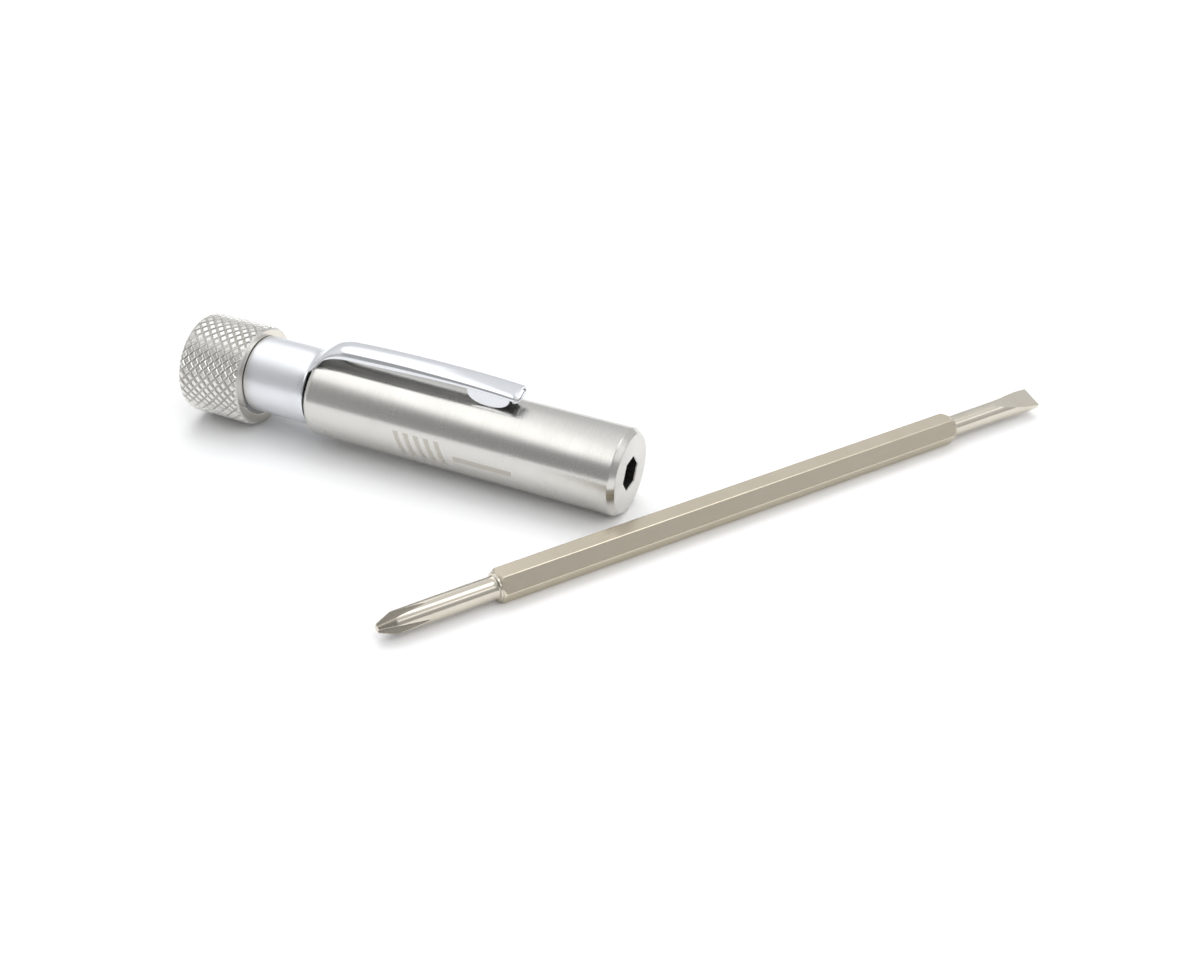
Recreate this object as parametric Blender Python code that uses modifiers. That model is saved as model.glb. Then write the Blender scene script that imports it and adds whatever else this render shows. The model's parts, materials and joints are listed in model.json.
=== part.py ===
"""A pocket screwdriver with a pen clip, lying beside its loose double-ended hexagon blade.

World axes: +X runs along the handle from the cap to the nose, +Z is up, and the table is at Z = 0.
The handle's pieces hang on one empty at the centre of the nose face. In its frame +Z runs along the
handle's axis towards the cap and +X points up, to the clip. The blade's own +X runs from its
cross-point tip to its slotted tip, with the middle of the hexagon at its origin.
"""

import math

import bmesh
import bpy
from mathutils import Matrix, Vector

MM = 0.001

# Handle, along its axis from the nose face
BARREL_RADIUS = 6.0 * MM
BARREL_LENGTH = 46.6 * MM
NOSE_BEVEL_LENGTH = 0.85 * MM
NOSE_BEVEL_DEPTH = 0.65 * MM
REAR_ROUND = 0.9 * MM
SOCKET_FLATS = 4.16 * MM
SOCKET_DEPTH = 14.0 * MM
SOCKET_PHASE = math.radians(4.024)
BORE_RADIUS = 2.5 * MM
NECK_RADIUS = 4.0 * MM
NECK_END = 64.2 * MM
NECK_CHAMFER = 0.4 * MM
MAGNET_POCKET_START = 50.0 * MM
MAGNET_POCKET_RADIUS = 3.0 * MM

# Cap
CAP_RADIUS = 7.15 * MM
CAP_START = 56.5 * MM
CAP_LENGTH = 10.0 * MM
CAP_FRONT_BEVEL = 0.3 * MM
CAP_REAR_ROUND = 1.3 * MM
CAP_THREAD_RADIUS = 4.3 * MM
CAP_FLOOR = 1.5 * MM
CAP_RECESS_RADIUS = 5.55 * MM
CAP_RECESS_DEPTH = 0.8 * MM

# Pieces inside, with the clearance that each keeps to its neighbours
GAP = 0.3 * MM
WASHER_INNER = 4.35 * MM
WASHER_OUTER = 5.2 * MM
WASHER_THICKNESS = 0.5 * MM
MAGNET_RADIUS = 2.0 * MM
MAGNET_LENGTH = 3.4 * MM
SLEEVE_LENGTH = 4.0 * MM
PLUG_LENGTH = 6.0 * MM
PLUG_KEY_FLATS = 2.5 * MM
PLUG_KEY_DEPTH = 2.5 * MM

# Pocket clip: a ring that sits a little high on the neck, and an arm of arched sheet
RING_RADIUS = 5.4 * MM
RING_WALL = 0.5 * MM
RING_LIFT = 0.55 * MM
SHEET = 0.4 * MM
EAR_MIDDLE = 19.9 * MM
EAR_LENGTH = 6.3 * MM
EAR_FOOT_GAP = 0.12 * MM
EAR_THICKNESS = 0.36 * MM
EAR_OVERLAP = 0.1 * MM
EAR_INSET = 0.02 * MM
# Stations of the arm: distance from the nose, crown height, half width, rise of the arch, and how
# much of a half circle the arch is. The first two lie inside the wall of the ring.
ARM_STATIONS = (
    (49.6, 5.90, 3.2, 1.05, 0.40),
    (47.3, 5.90, 3.2, 1.05, 0.40),
    (46.5, 6.38, 3.0, 0.80, 0.50),
    (45.5, 7.22, 2.6, 0.85, 0.65),
    (44.4, 7.98, 2.3, 1.10, 0.85),
    (43.2, 8.44, 2.1, 1.25, 0.95),
    (41.8, 8.70, 2.05, 1.30, 1.0),
    (38.0, 8.90, 2.05, 1.35, 1.0),
    (33.0, 9.02, 2.0, 1.30, 1.0),
    (28.0, 9.00, 2.0, 1.15, 1.0),
    (23.5, 8.90, 1.95, 1.05, 1.0),
    (19.0, 8.72, 1.95, 1.00, 1.0),
    (16.0, 8.52, 1.95, 1.00, 1.0),
)

# Blade
HEX_FLATS = 4.0 * MM
HEX_LENGTH = 73.0 * MM
HEX_CHAMFER = 0.5 * MM
HEX_CORNER_MARGIN = 0.05 * MM
COLLAR_STEP = 0.3 * MM
SHANK_RADIUS = 1.5 * MM
SHANK_LENGTH = 16.0 * MM
CROSS_TAPER_LENGTH = 5.5 * MM
CROSS_SHOULDER_RADIUS = 1.46 * MM
CROSS_CONE_LENGTH = 2.2 * MM
CROSS_POINT_RADIUS = 0.55 * MM
FLUTE_LENGTH = 6.6 * MM
FLUTE_WEB = 0.35 * MM
FLUTE_SIDE = 3.0 * MM
FLUTE_TURN = math.radians(7.0)
SLOT_TIP_WIDTH = 3.4 * MM
SLOT_TIP_LAND = 2.0 * MM
SLOT_TIP_THICKNESS = 0.55 * MM
SLOT_GRIND_LENGTH = 6.0 * MM
SLOT_GRIND_DEPTH = 1.25 * MM
SLOT_TURN = math.radians(18.0)

# Where the two lie on the table, and the gap ahead of the nose when the blade is lined up with it
NOSE_PLACE = (11.035 * MM, -5.953 * MM)
BLADE_PLACE = (24.435 * MM, -0.353 * MM)
BLADE_YAW = math.radians(55.5)
LINE_UP_GAP = 13.0 * MM

ROUND_STEPS = 48
SMALL_STEPS = 32
ARCH_POINTS = 12
EAR_POINTS = 10
REACH = 3.0 * MM


def clear_scene():
    for obj in list(bpy.data.objects):
        bpy.data.objects.remove(obj, do_unlink=True)


def collection(name):
    made = bpy.data.collections.new(name)
    bpy.context.scene.collection.children.link(made)
    return made


def material(name, colour, roughness, metallic):
    made = bpy.data.materials.new(name)
    made.use_nodes = True
    shader = made.node_tree.nodes["Principled BSDF"]
    shader.inputs["Base Color"].default_value = (*colour, 1.0)
    shader.inputs["Roughness"].default_value = roughness
    shader.inputs["Metallic"].default_value = metallic
    return made


def satin_nickel():
    return material("satin_nickel", (0.72, 0.71, 0.69), 0.28, 1.0)


def bright_chrome():
    return material("bright_chrome", (0.82, 0.84, 0.87), 0.06, 1.0)


def knurled_nickel():
    return material("knurled_nickel", (0.74, 0.73, 0.71), 0.24, 1.0)


def champagne_steel():
    return material("champagne_steel", (0.62, 0.58, 0.52), 0.30, 1.0)


def spring_steel():
    return material("spring_steel", (0.45, 0.45, 0.46), 0.35, 1.0)


def magnet_plating():
    return material("magnet_plating", (0.60, 0.60, 0.61), 0.15, 1.0)


def bush_brass():
    return material("bush_brass", (0.72, 0.55, 0.27), 0.30, 1.0)


def black_oxide():
    return material("black_oxide", (0.05, 0.05, 0.055), 0.45, 1.0)


def add_object(name, mesh, group, finish=None):
    made = bpy.data.objects.new(name, mesh)
    group.objects.link(made)
    if finish is not None:
        mesh.materials.append(finish)
    return made


def helper(name, mesh, group):
    made = add_object(name, mesh, group)
    made.hide_render = True
    made.display_type = "WIRE"
    return made


def smooth(obj):
    obj.data.shade_smooth()
    obj.data.set_sharp_from_angle(angle=math.radians(30.0))


def profile_mesh(name, points, closed):
    """A line of (radius, height) points in the XZ plane, for the Screw modifier."""
    mesh = bpy.data.meshes.new(name)
    corners = [(radius, 0.0, height) for radius, height in points]
    edges = [(i, i + 1) for i in range(len(corners) - 1)]
    if closed:
        edges.append((len(corners) - 1, 0))
    mesh.from_pydata(corners, edges, [])
    return mesh


def turn(obj, steps):
    screw = obj.modifiers.new("turned", "SCREW")
    screw.axis = "Z"
    screw.steps = steps
    screw.render_steps = steps
    screw.use_merge_vertices = True
    screw.merge_threshold = 0.00001
    screw.use_smooth_shade = True


def turned(name, points, group, finish, steps=ROUND_STEPS, closed=False):
    made = add_object(name, profile_mesh(name, points, closed), group, finish)
    turn(made, steps)
    return made


def combine(obj, other, operation):
    modifier = obj.modifiers.new(other.name, "BOOLEAN")
    modifier.operation = operation
    modifier.solver = "EXACT"
    modifier.object = other


def arc(centre_r, centre_z, radius, start, end, count):
    """Points of a turned profile along an arc, angles in degrees from the radius direction."""
    points = []
    for i in range(count + 1):
        angle = math.radians(start + (end - start) * i / count)
        points.append((centre_r + radius * math.cos(angle), centre_z + radius * math.sin(angle)))
    return points


def prism(name, across_flats, start, end, phase, group):
    """A hexagonal prism along Z with a corner at the phase angle."""
    mesh = bpy.data.meshes.new(name)
    bm = bmesh.new()
    corner_radius = across_flats / math.sqrt(3.0)
    bmesh.ops.create_cone(
        bm,
        cap_ends=True,
        segments=6,
        radius1=corner_radius,
        radius2=corner_radius,
        depth=end - start,
        matrix=Matrix.Translation((0.0, 0.0, (start + end) / 2)),
    )
    first = min(bm.verts, key=lambda vert: math.hypot(vert.co.x - corner_radius, vert.co.y))
    offset = math.atan2(first.co.y, first.co.x)
    bmesh.ops.rotate(bm, verts=bm.verts, matrix=Matrix.Rotation(phase - offset, 3, "Z"))
    bm.to_mesh(mesh)
    bm.free()
    return helper(name, mesh, group)


def handle_frame(group):
    """The empty that carries the handle, tipped so that the barrel and the cap both touch the table."""
    tilt = handle_tilt()
    empty = bpy.data.objects.new("handle_axis", None)
    group.objects.link(empty)
    height = BARREL_RADIUS * math.cos(tilt) - NOSE_BEVEL_LENGTH * math.sin(tilt)
    empty.location = (*NOSE_PLACE, height)
    empty.rotation_euler = (0.0, tilt - math.pi / 2, 0.0)
    return empty


def handle_tilt():
    rest_on = CAP_START + CAP_FRONT_BEVEL - NOSE_BEVEL_LENGTH
    return math.asin((CAP_RADIUS - BARREL_RADIUS) / rest_on)


def make_barrel(group, cutters):
    rear_arc = arc(BARREL_RADIUS - REAR_ROUND, BARREL_LENGTH - REAR_ROUND, REAR_ROUND, 90, 0, 6)
    points = [
        (0.0, SOCKET_DEPTH - GAP),
        (BORE_RADIUS, SOCKET_DEPTH - GAP),
        (BORE_RADIUS, MAGNET_POCKET_START),
        (MAGNET_POCKET_RADIUS, MAGNET_POCKET_START),
        (MAGNET_POCKET_RADIUS, NECK_END),
        (NECK_RADIUS - NECK_CHAMFER, NECK_END),
        (NECK_RADIUS, NECK_END - NECK_CHAMFER),
        (NECK_RADIUS, BARREL_LENGTH),
        *rear_arc,
        (BARREL_RADIUS, NOSE_BEVEL_LENGTH),
        (BARREL_RADIUS - NOSE_BEVEL_DEPTH, 0.0),
        (0.0, 0.0),
    ]
    barrel = turned("barrel", points, group, satin_nickel())
    phase = math.radians(90.0) - SOCKET_PHASE
    socket = prism("socket_cutter", SOCKET_FLATS, -REACH, SOCKET_DEPTH, phase, cutters)
    combine(barrel, socket, "DIFFERENCE")
    smooth(barrel)


def make_cap(group):
    end = CAP_START + CAP_LENGTH
    points = [
        (0.0, end),
        *arc(CAP_RADIUS - CAP_REAR_ROUND, end - CAP_REAR_ROUND, CAP_REAR_ROUND, 90, 0, 5),
        (CAP_RADIUS, CAP_START + CAP_FRONT_BEVEL),
        (CAP_RADIUS - CAP_FRONT_BEVEL, CAP_START),
        (CAP_RECESS_RADIUS, CAP_START),
        (CAP_RECESS_RADIUS, CAP_START + CAP_RECESS_DEPTH),
        (CAP_THREAD_RADIUS, CAP_START + CAP_RECESS_DEPTH),
        (CAP_THREAD_RADIUS, end - CAP_FLOOR),
        (0.0, end - CAP_FLOOR),
    ]
    smooth(turned("knurled_cap", points, group, knurled_nickel()))


def tube(name, inner, outer, start, length, group, finish):
    end = start + length
    points = [(outer, end), (outer, start), (inner, start), (inner, end)]
    smooth(turned(name, points, group, finish, SMALL_STEPS, closed=True))


def rod(name, radius, start, length, group, finish):
    end = start + length
    points = [(0.0, end), (radius, end), (radius, start), (0.0, start)]
    made = turned(name, points, group, finish, SMALL_STEPS)
    smooth(made)
    return made


def make_washer(group):
    thickness = WASHER_THICKNESS
    tube("clip_washer", WASHER_INNER, WASHER_OUTER, CAP_START, thickness, group, spring_steel())


def make_magnet_parts(group, cutters):
    inner = MAGNET_RADIUS + GAP
    outer = MAGNET_POCKET_RADIUS - GAP
    front = MAGNET_POCKET_START + GAP
    tube("magnet_sleeve", inner, outer, front, SLEEVE_LENGTH, group, bush_brass())
    rod("blade_magnet", MAGNET_RADIUS, front + GAP, MAGNET_LENGTH, group, magnet_plating())
    plug_start = front + SLEEVE_LENGTH + GAP
    plug_end = plug_start + PLUG_LENGTH
    plug = rod("bore_plug", outer, plug_start, PLUG_LENGTH, group, black_oxide())
    key_start = plug_end - PLUG_KEY_DEPTH
    key = prism("plug_key_cutter", PLUG_KEY_FLATS, key_start, plug_end + REACH, 0.0, cutters)
    combine(plug, key, "DIFFERENCE")


def arm_section(crown, half_width, rise, fullness):
    """Points across the arched sheet, from one edge over the crown to the other."""
    limit = fullness * math.pi / 2
    points = []
    for i in range(ARCH_POINTS + 1):
        angle = limit * (2.0 * i / ARCH_POINTS - 1.0)
        height = crown - rise * (1.0 - math.cos(angle)) / (1.0 - math.cos(limit))
        points.append((height, half_width * math.sin(angle) / math.sin(limit)))
    return points


def arm_mesh():
    mesh = bpy.data.meshes.new("clip_arm")
    corners = []
    for place, crown, half_width, rise, fullness in ARM_STATIONS:
        for height, across in arm_section(crown, half_width, rise, fullness):
            corners.append((height * MM, across * MM, place * MM))
    row = ARCH_POINTS + 1
    faces = []
    for station in range(len(ARM_STATIONS) - 1):
        for i in range(ARCH_POINTS):
            a = station * row + i
            faces.append((a, a + row, a + row + 1, a + 1))
    mesh.from_pydata(corners, [], faces)
    return mesh


def make_arm(cutters):
    arm = helper("clip_arm", arm_mesh(), cutters)
    sheet = arm.modifiers.new("sheet", "SOLIDIFY")
    sheet.thickness = SHEET
    sheet.offset = -1.0
    return arm


def arm_at(place):
    """Crown height, half width and rise of the arm at a distance from the nose."""
    for near, far in zip(ARM_STATIONS[1:], ARM_STATIONS):
        if near[0] * MM <= place <= far[0] * MM:
            share = (place / MM - near[0]) / (far[0] - near[0])
            return [(a + (b - a) * share) * MM for a, b in zip(near[1:4], far[1:4])]
    return [value * MM for value in ARM_STATIONS[-1][1:4]]


def make_ear(name, side, cutters):
    """A rounded plate under one edge of the arm: a segment of a circle, flat on top."""
    crown, half_width, rise = arm_at(EAR_MIDDLE)
    top = crown - rise + EAR_OVERLAP
    inner = half_width - SHEET
    foot = math.sqrt((BARREL_RADIUS + EAR_FOOT_GAP) ** 2 - inner**2)
    drop = top - foot
    half = EAR_LENGTH / 2
    radius = (half**2 + drop**2) / (2 * drop)
    swing = math.asin(half / radius)
    mesh = bpy.data.meshes.new(name)
    bm = bmesh.new()
    across = side * (half_width - EAR_INSET)
    rim = []
    for i in range(EAR_POINTS + 1):
        angle = swing * (2.0 * i / EAR_POINTS - 1.0)
        height = foot + radius * (1.0 - math.cos(angle))
        rim.append(bm.verts.new((height, across, EAR_MIDDLE + radius * math.sin(angle))))
    face = bm.faces.new(rim)
    moved = bmesh.ops.extrude_face_region(bm, geom=[face])["geom"]
    verts = [item for item in moved if isinstance(item, bmesh.types.BMVert)]
    bmesh.ops.translate(bm, verts=verts, vec=(0.0, -side * EAR_THICKNESS, 0.0))
    bmesh.ops.recalc_face_normals(bm, faces=bm.faces)
    bm.to_mesh(mesh)
    bm.free()
    return helper(name, mesh, cutters)


def make_clip(group, cutters):
    start = BARREL_LENGTH + GAP
    end = CAP_START - GAP
    inner = RING_RADIUS - RING_WALL
    points = [(RING_RADIUS, end), (RING_RADIUS, start), (inner, start), (inner, end)]
    clip = add_object("pocket_clip", ring_mesh(points), group, bright_chrome())
    arm = make_arm(cutters)
    ears = [make_ear("clip_ear_left", 1, cutters), make_ear("clip_ear_right", -1, cutters)]
    for other in [arm, *ears]:
        combine(clip, other, "UNION")
    smooth(clip)


def ring_mesh(points):
    """The clip's ring, turned about its own centre, which lies above the handle's axis."""
    mesh = bpy.data.meshes.new("pocket_clip")
    bm = bmesh.new()
    verts = [bm.verts.new((radius, 0.0, height)) for radius, height in points]
    edges = [bm.edges.new((verts[i], verts[(i + 1) % len(verts)])) for i in range(len(verts))]
    bmesh.ops.spin(
        bm,
        geom=[*verts, *edges],
        axis=(0.0, 0.0, 1.0),
        cent=(0.0, 0.0, 0.0),
        steps=ROUND_STEPS,
        angle=2 * math.pi,
        use_merge=True,
    )
    bmesh.ops.remove_doubles(bm, verts=bm.verts, dist=0.000001)
    bmesh.ops.recalc_face_normals(bm, faces=bm.faces)
    bmesh.ops.translate(bm, verts=bm.verts, vec=(RING_LIFT, 0.0, 0.0))
    bm.to_mesh(mesh)
    bm.free()
    return mesh


def blade_envelope():
    """The turned outline of the blade along its axis, from the slotted tip down to the cross point."""
    half = HEX_LENGTH / 2
    tip = half + SHANK_LENGTH
    corner = HEX_FLATS / math.sqrt(3.0) + HEX_CORNER_MARGIN
    collar = SHANK_RADIUS + COLLAR_STEP
    flare = SLOT_TIP_WIDTH / 2
    return [
        (0.0, tip),
        (flare, tip),
        (flare, tip - SLOT_TIP_LAND),
        (SHANK_RADIUS, tip - SLOT_GRIND_LENGTH),
        (SHANK_RADIUS, half + COLLAR_STEP),
        (collar, half),
        (corner, half - HEX_CHAMFER),
        (corner, HEX_CHAMFER - half),
        (collar, -half),
        (SHANK_RADIUS, -half - COLLAR_STEP),
        (SHANK_RADIUS, CROSS_TAPER_LENGTH + CROSS_CONE_LENGTH - tip),
        (CROSS_SHOULDER_RADIUS, CROSS_CONE_LENGTH - tip),
        (CROSS_POINT_RADIUS, -tip),
        (0.0, -tip),
    ]


def flute_cutter(index, cutters):
    """A square bar whose edge runs from near the axis at the cross point out to the shank's surface."""
    tip = HEX_LENGTH / 2 + SHANK_LENGTH
    side = FLUTE_SIDE
    length = 2.5 * FLUTE_LENGTH
    mesh = bpy.data.meshes.new(f"flute_cutter_{index}")
    bm = bmesh.new()
    bmesh.ops.create_cube(bm, size=1.0)
    bmesh.ops.scale(bm, verts=bm.verts, vec=(side, side, length))
    bmesh.ops.rotate(bm, verts=bm.verts, matrix=Matrix.Rotation(math.pi / 4, 3, "Z"))
    bmesh.ops.translate(bm, verts=bm.verts, vec=(side / math.sqrt(2.0), 0.0, 0.0))
    lean = math.atan2(SHANK_RADIUS - FLUTE_WEB, FLUTE_LENGTH)
    bmesh.ops.rotate(bm, verts=bm.verts, matrix=Matrix.Rotation(lean, 3, "Y"))
    bmesh.ops.translate(bm, verts=bm.verts, vec=(FLUTE_WEB, 0.0, -tip))
    turn_by = FLUTE_TURN + index * math.pi / 2
    bmesh.ops.rotate(bm, verts=bm.verts, matrix=Matrix.Rotation(turn_by, 3, "Z"))
    bm.to_mesh(mesh)
    bm.free()
    return helper(mesh.name, mesh, cutters)


def grind_cutter(index, cutters):
    """A block that grinds one face of the slotted tip to a slope."""
    tip = HEX_LENGTH / 2 + SHANK_LENGTH
    size = 3.0 * SLOT_GRIND_LENGTH
    slope = math.atan2(SLOT_GRIND_DEPTH - SLOT_TIP_THICKNESS / 2, SLOT_GRIND_LENGTH)
    mesh = bpy.data.meshes.new(f"grind_cutter_{index}")
    bm = bmesh.new()
    bmesh.ops.create_cube(bm, size=size, matrix=Matrix.Translation((0.0, size / 2, 0.0)))
    bmesh.ops.rotate(bm, verts=bm.verts, matrix=Matrix.Rotation(slope, 3, "X"))
    bmesh.ops.translate(bm, verts=bm.verts, vec=(0.0, SLOT_TIP_THICKNESS / 2, tip))
    turn_by = SLOT_TURN + index * math.pi
    bmesh.ops.rotate(bm, verts=bm.verts, matrix=Matrix.Rotation(turn_by, 3, "Z"))
    bm.to_mesh(mesh)
    bm.free()
    return helper(mesh.name, mesh, cutters)


def make_blade(group, cutters):
    """Made standing along Z, slotted tip up: across it X is level and Y is up once the blade lies down."""
    blade = turned("hex_blade", blade_envelope(), group, champagne_steel(), SMALL_STEPS)
    reach = HEX_LENGTH / 2 + SHANK_LENGTH + REACH
    helpers = [prism("hexagon_bar", HEX_FLATS, -reach, reach, 0.0, cutters)]
    combine(blade, helpers[-1], "INTERSECT")
    for index in range(4):
        helpers.append(flute_cutter(index, cutters))
        combine(blade, helpers[-1], "DIFFERENCE")
    for index in range(2):
        helpers.append(grind_cutter(index, cutters))
        combine(blade, helpers[-1], "DIFFERENCE")
    smooth(blade)
    return [blade, *helpers]


def blade_rest():
    """The blade on the table: its bar axis, its level side and up, about the middle of the hexagon."""
    along = Vector((math.cos(BLADE_YAW), math.sin(BLADE_YAW), 0.0))
    up = Vector((0.0, 0.0, 1.0))
    return frame_matrix(along, up, Vector((*BLADE_PLACE, HEX_FLATS / 2)))


def blade_lined_up(handle):
    """The blade in line with the socket, cross point towards it, hexagon turned to fit."""
    turn_matrix = handle.matrix_basis.to_3x3()
    ahead = -(turn_matrix @ Vector((0.0, 0.0, 1.0)))
    up = turn_matrix @ Vector((1.0, 0.0, 0.0))
    up = Matrix.Rotation(SOCKET_PHASE, 3, ahead) @ up
    half = HEX_LENGTH / 2 + SHANK_LENGTH
    return frame_matrix(ahead, up, handle.location + ahead * (LINE_UP_GAP + half))


def frame_matrix(along, up, place):
    """A frame whose Z runs along the bar, Y points up and X is level."""
    level = up.cross(along)
    made = Matrix((level, up, along)).transposed().to_4x4()
    made.translation = place
    return made


def swing_axis(rest, lined_up):
    """The one hinge that carries the blade from the table into line: a point on it and its direction."""
    motion = lined_up @ rest.inverted()
    axis, angle = motion.to_quaternion().to_axis_angle()
    moved = lined_up.translation - rest.translation
    middle = (lined_up.translation + rest.translation) / 2
    pivot = middle + axis.cross(moved) / (2 * math.tan(angle / 2))
    return pivot, axis, angle, moved.dot(axis)


def place_blade(pieces, handle, group):
    rest = blade_rest()
    pivot = swing_axis(rest, blade_lined_up(handle))[0]
    hinge = bpy.data.objects.new("blade_swing", None)
    group.objects.link(hinge)
    hinge.location = pivot
    for piece in pieces:
        piece.parent = hinge
        piece.matrix_local = Matrix.Translation(-pivot) @ rest
    return hinge


def build():
    clear_scene()
    group = collection("pocket_screwdriver")
    cutters = collection("cutters")
    handle = handle_frame(group)
    make_barrel(group, cutters)
    make_cap(group)
    make_washer(group)
    make_magnet_parts(group, cutters)
    make_clip(group, cutters)
    for piece in [*group.objects, *cutters.objects]:
        if piece is not handle:
            piece.parent = handle
    place_blade(make_blade(group, cutters), handle, group)


build()
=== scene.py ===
import json
import math

import bmesh
import bpy
from mathutils import Matrix, Vector


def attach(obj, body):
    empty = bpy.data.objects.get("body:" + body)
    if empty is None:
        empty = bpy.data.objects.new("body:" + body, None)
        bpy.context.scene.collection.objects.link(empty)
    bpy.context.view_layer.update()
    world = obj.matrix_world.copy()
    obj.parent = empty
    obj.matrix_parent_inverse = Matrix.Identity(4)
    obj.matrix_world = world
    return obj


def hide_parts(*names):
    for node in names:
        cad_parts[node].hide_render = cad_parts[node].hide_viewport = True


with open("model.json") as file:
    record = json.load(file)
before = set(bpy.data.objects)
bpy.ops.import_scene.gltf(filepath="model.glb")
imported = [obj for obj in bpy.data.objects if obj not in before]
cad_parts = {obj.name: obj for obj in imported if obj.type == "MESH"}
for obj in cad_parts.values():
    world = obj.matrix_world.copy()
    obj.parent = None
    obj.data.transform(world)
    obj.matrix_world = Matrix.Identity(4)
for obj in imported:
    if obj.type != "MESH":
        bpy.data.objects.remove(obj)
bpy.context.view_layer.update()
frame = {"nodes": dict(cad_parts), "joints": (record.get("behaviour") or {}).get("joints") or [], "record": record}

# A pocket screwdriver with a pen clip, and its loose double-ended blade: the fine surfaces around the CAD
# solids. In the handle's frame +Z runs from the nose face to the cap and +X points up, to the clip. In the
# blade's frame +Z runs from the cross point to the slotted tip, +Y points up and +X away from the camera.
# Sizes are in millimetres, and those of the camera and the studio in metres.

MM = 0.001

# Barrel
BARREL_RADIUS = 6.0
BARREL_LENGTH = 46.6
NOSE_BEVEL_DEPTH = 0.65
NOSE_BEVEL_LENGTH = 0.85
REAR_ROUND = 0.9
EDGE_BREAK = 0.1
SOCKET_FLATS = 4.16
SOCKET_DEPTH = 14.0
SOCKET_PHASE = math.radians(4.024)
SOCKET_EDGE_DEPTH = 0.14
SOCKET_EDGE_GROW = 1.1
BURR = 0.05
BURR_STEPS = 8
BORE_RADIUS = 2.5
BORE_START = 13.7
POCKET_RADIUS = 3.0
POCKET_START = 50.0
NECK_RADIUS = 4.0
NECK_END = 64.2
NECK_CHAMFER = 0.4
THREAD_PITCH = 0.8
THREAD_DEPTH = 0.36
THREAD_ROOT_FLAT = 1.15
THREAD_START = 57.6
THREAD_END = 63.7
THREAD_STEP = 0.1

# Etched mark on the barrel's side: places along the axis, and heights round it from the side's middle
MARK_SLANT = 0.35
MARK_CYCLE = 1.55
MARK_BAR_SHARE = (0.12, 0.62)
MARK_BARS_ALONG = (24.9, 32.7)
MARK_BARS_HEIGHT = (-2.5, 1.0)
MARK_STRIPE_ALONG = (14.5, 23.2)
MARK_STRIPE_HEIGHT = (-1.35, -0.55)

# Cap
CAP_RADIUS = 7.15
CAP_START = 56.5
CAP_END = 66.5
CAP_FRONT_BEVEL = 0.38
CAP_REAR_ROUND = 1.3
CAP_BORE_RADIUS = 4.3
CAP_FLOOR = 1.5
CAP_RECESS_RADIUS = 5.5
CAP_RECESS_DEPTH = 0.8
CAP_OUTSIDE_MARGIN = 0.03

# Knurl: the shares of a diamond inside its slopes and on its flat top, and how far the slopes' ends drop
KNURL_AROUND = 30
KNURL_PITCH = 1.40
KNURL_DEPTH = 0.26
KNURL_SHOULDER = 0.68
KNURL_SHOULDER_DROP = 0.045
KNURL_TOP = 0.52

# Washer
WASHER_INNER = 4.35
WASHER_OUTER = 5.44
WASHER_THICKNESS = 0.5

# Pocket clip
RING_RADIUS = 5.4
RING_LIFT = 0.55
RING_START = 46.9
RING_END = 56.42
RING_ROWS = (RING_END, RING_END - 0.3, 54.0, 52.0, 50.0, 49.0, 48.5, 48.1, 47.8, 47.5, 47.2, RING_START)
RING_COLUMNS = 80
BULGE_START = 48.1
BULGE_HEIGHT = 0.18
ARM_COLUMNS = 16
ARM_ROWS = 90
ARM_ROWS_AT_BEND = 0.65
SHEET = 0.42
FLAT_ARCH_ANGLE = math.radians(36.0)
ARCH_POWER = 2.7
# Along the arm: distance from the nose, crown height, edge height, half width, share of full arch
ARM_LINE = (
    (47.5, 5.96, 4.92, 3.17, 0.0),
    (46.9, 6.13, 4.92, 3.17, 0.0),
    (46.2, 6.62, 5.55, 2.88, 0.2),
    (45.5, 7.22, 6.30, 2.60, 0.45),
    (44.4, 7.98, 6.88, 2.30, 0.8),
    (43.2, 8.44, 7.19, 2.12, 0.95),
    (41.8, 8.70, 7.38, 2.06, 1.0),
    (38.0, 8.90, 7.52, 2.05, 1.0),
    (33.0, 9.02, 7.68, 2.02, 1.0),
    (28.0, 9.00, 7.82, 2.0, 1.0),
    (23.5, 8.90, 7.84, 1.97, 1.0),
    (19.0, 8.72, 7.72, 1.96, 1.0),
    (16.0, 8.52, 7.52, 1.95, 1.0),
)
CLIP_EDGE_BEVEL = 0.07
EAR_MIDDLE = 19.9
EAR_LENGTH = 6.3
EAR_INSET = 0.12
EAR_THICKNESS = 0.36
EAR_TOP = 8.0
EAR_FOOT = 5.8
EAR_STRAIGHT = 0.35
EAR_FULLNESS = 0.8
EAR_STEPS = 32
EAR_EDGE_BEVEL = 0.09
LIP_RADIUS = 0.17
LIP_SAG = 0.62
LIP_SINK = 0.8
LIP_WIDTH_SHARE = 0.93
LIP_ARCH_STEPS = 24
LIP_SAG_STEPS = 16
LIP_SIDES = 10

# Blade
HEX_FLATS = 4.0
HEX_LENGTH = 73.0
HEX_EDGE_ROUND = 0.2
HEX_CHAMFER = 0.5
SHANK_RADIUS = 1.5
SHANK_LENGTH = 16.0
COLLAR_RADIUS = 1.88
SLOT_COLLAR_LENGTH = 0.25
SLOT_END_TAPER = 0.6
CROSS_COLLAR_LENGTH = 0.28
CROSS_FILLET_LENGTH = 0.75
CROSS_TAPER_LENGTH = 5.5
CROSS_SHOULDER_RADIUS = 1.46
CROSS_CONE_LENGTH = 2.2
CROSS_POINT_RADIUS = 0.55
FLUTE_LENGTH = 6.6
FLUTE_WEB = 0.35
FLUTE_SIDE = 3.0
FLUTE_NOSE_FLAT = (0.04, 0.10)
FLUTE_TURN = math.radians(7.0)
SLOT_TIP_WIDTH = 3.4
SLOT_TIP_THICKNESS = 0.55
SLOT_TIP_LAND = 2.0
SLOT_GRIND_LENGTH = 6.0
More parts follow.
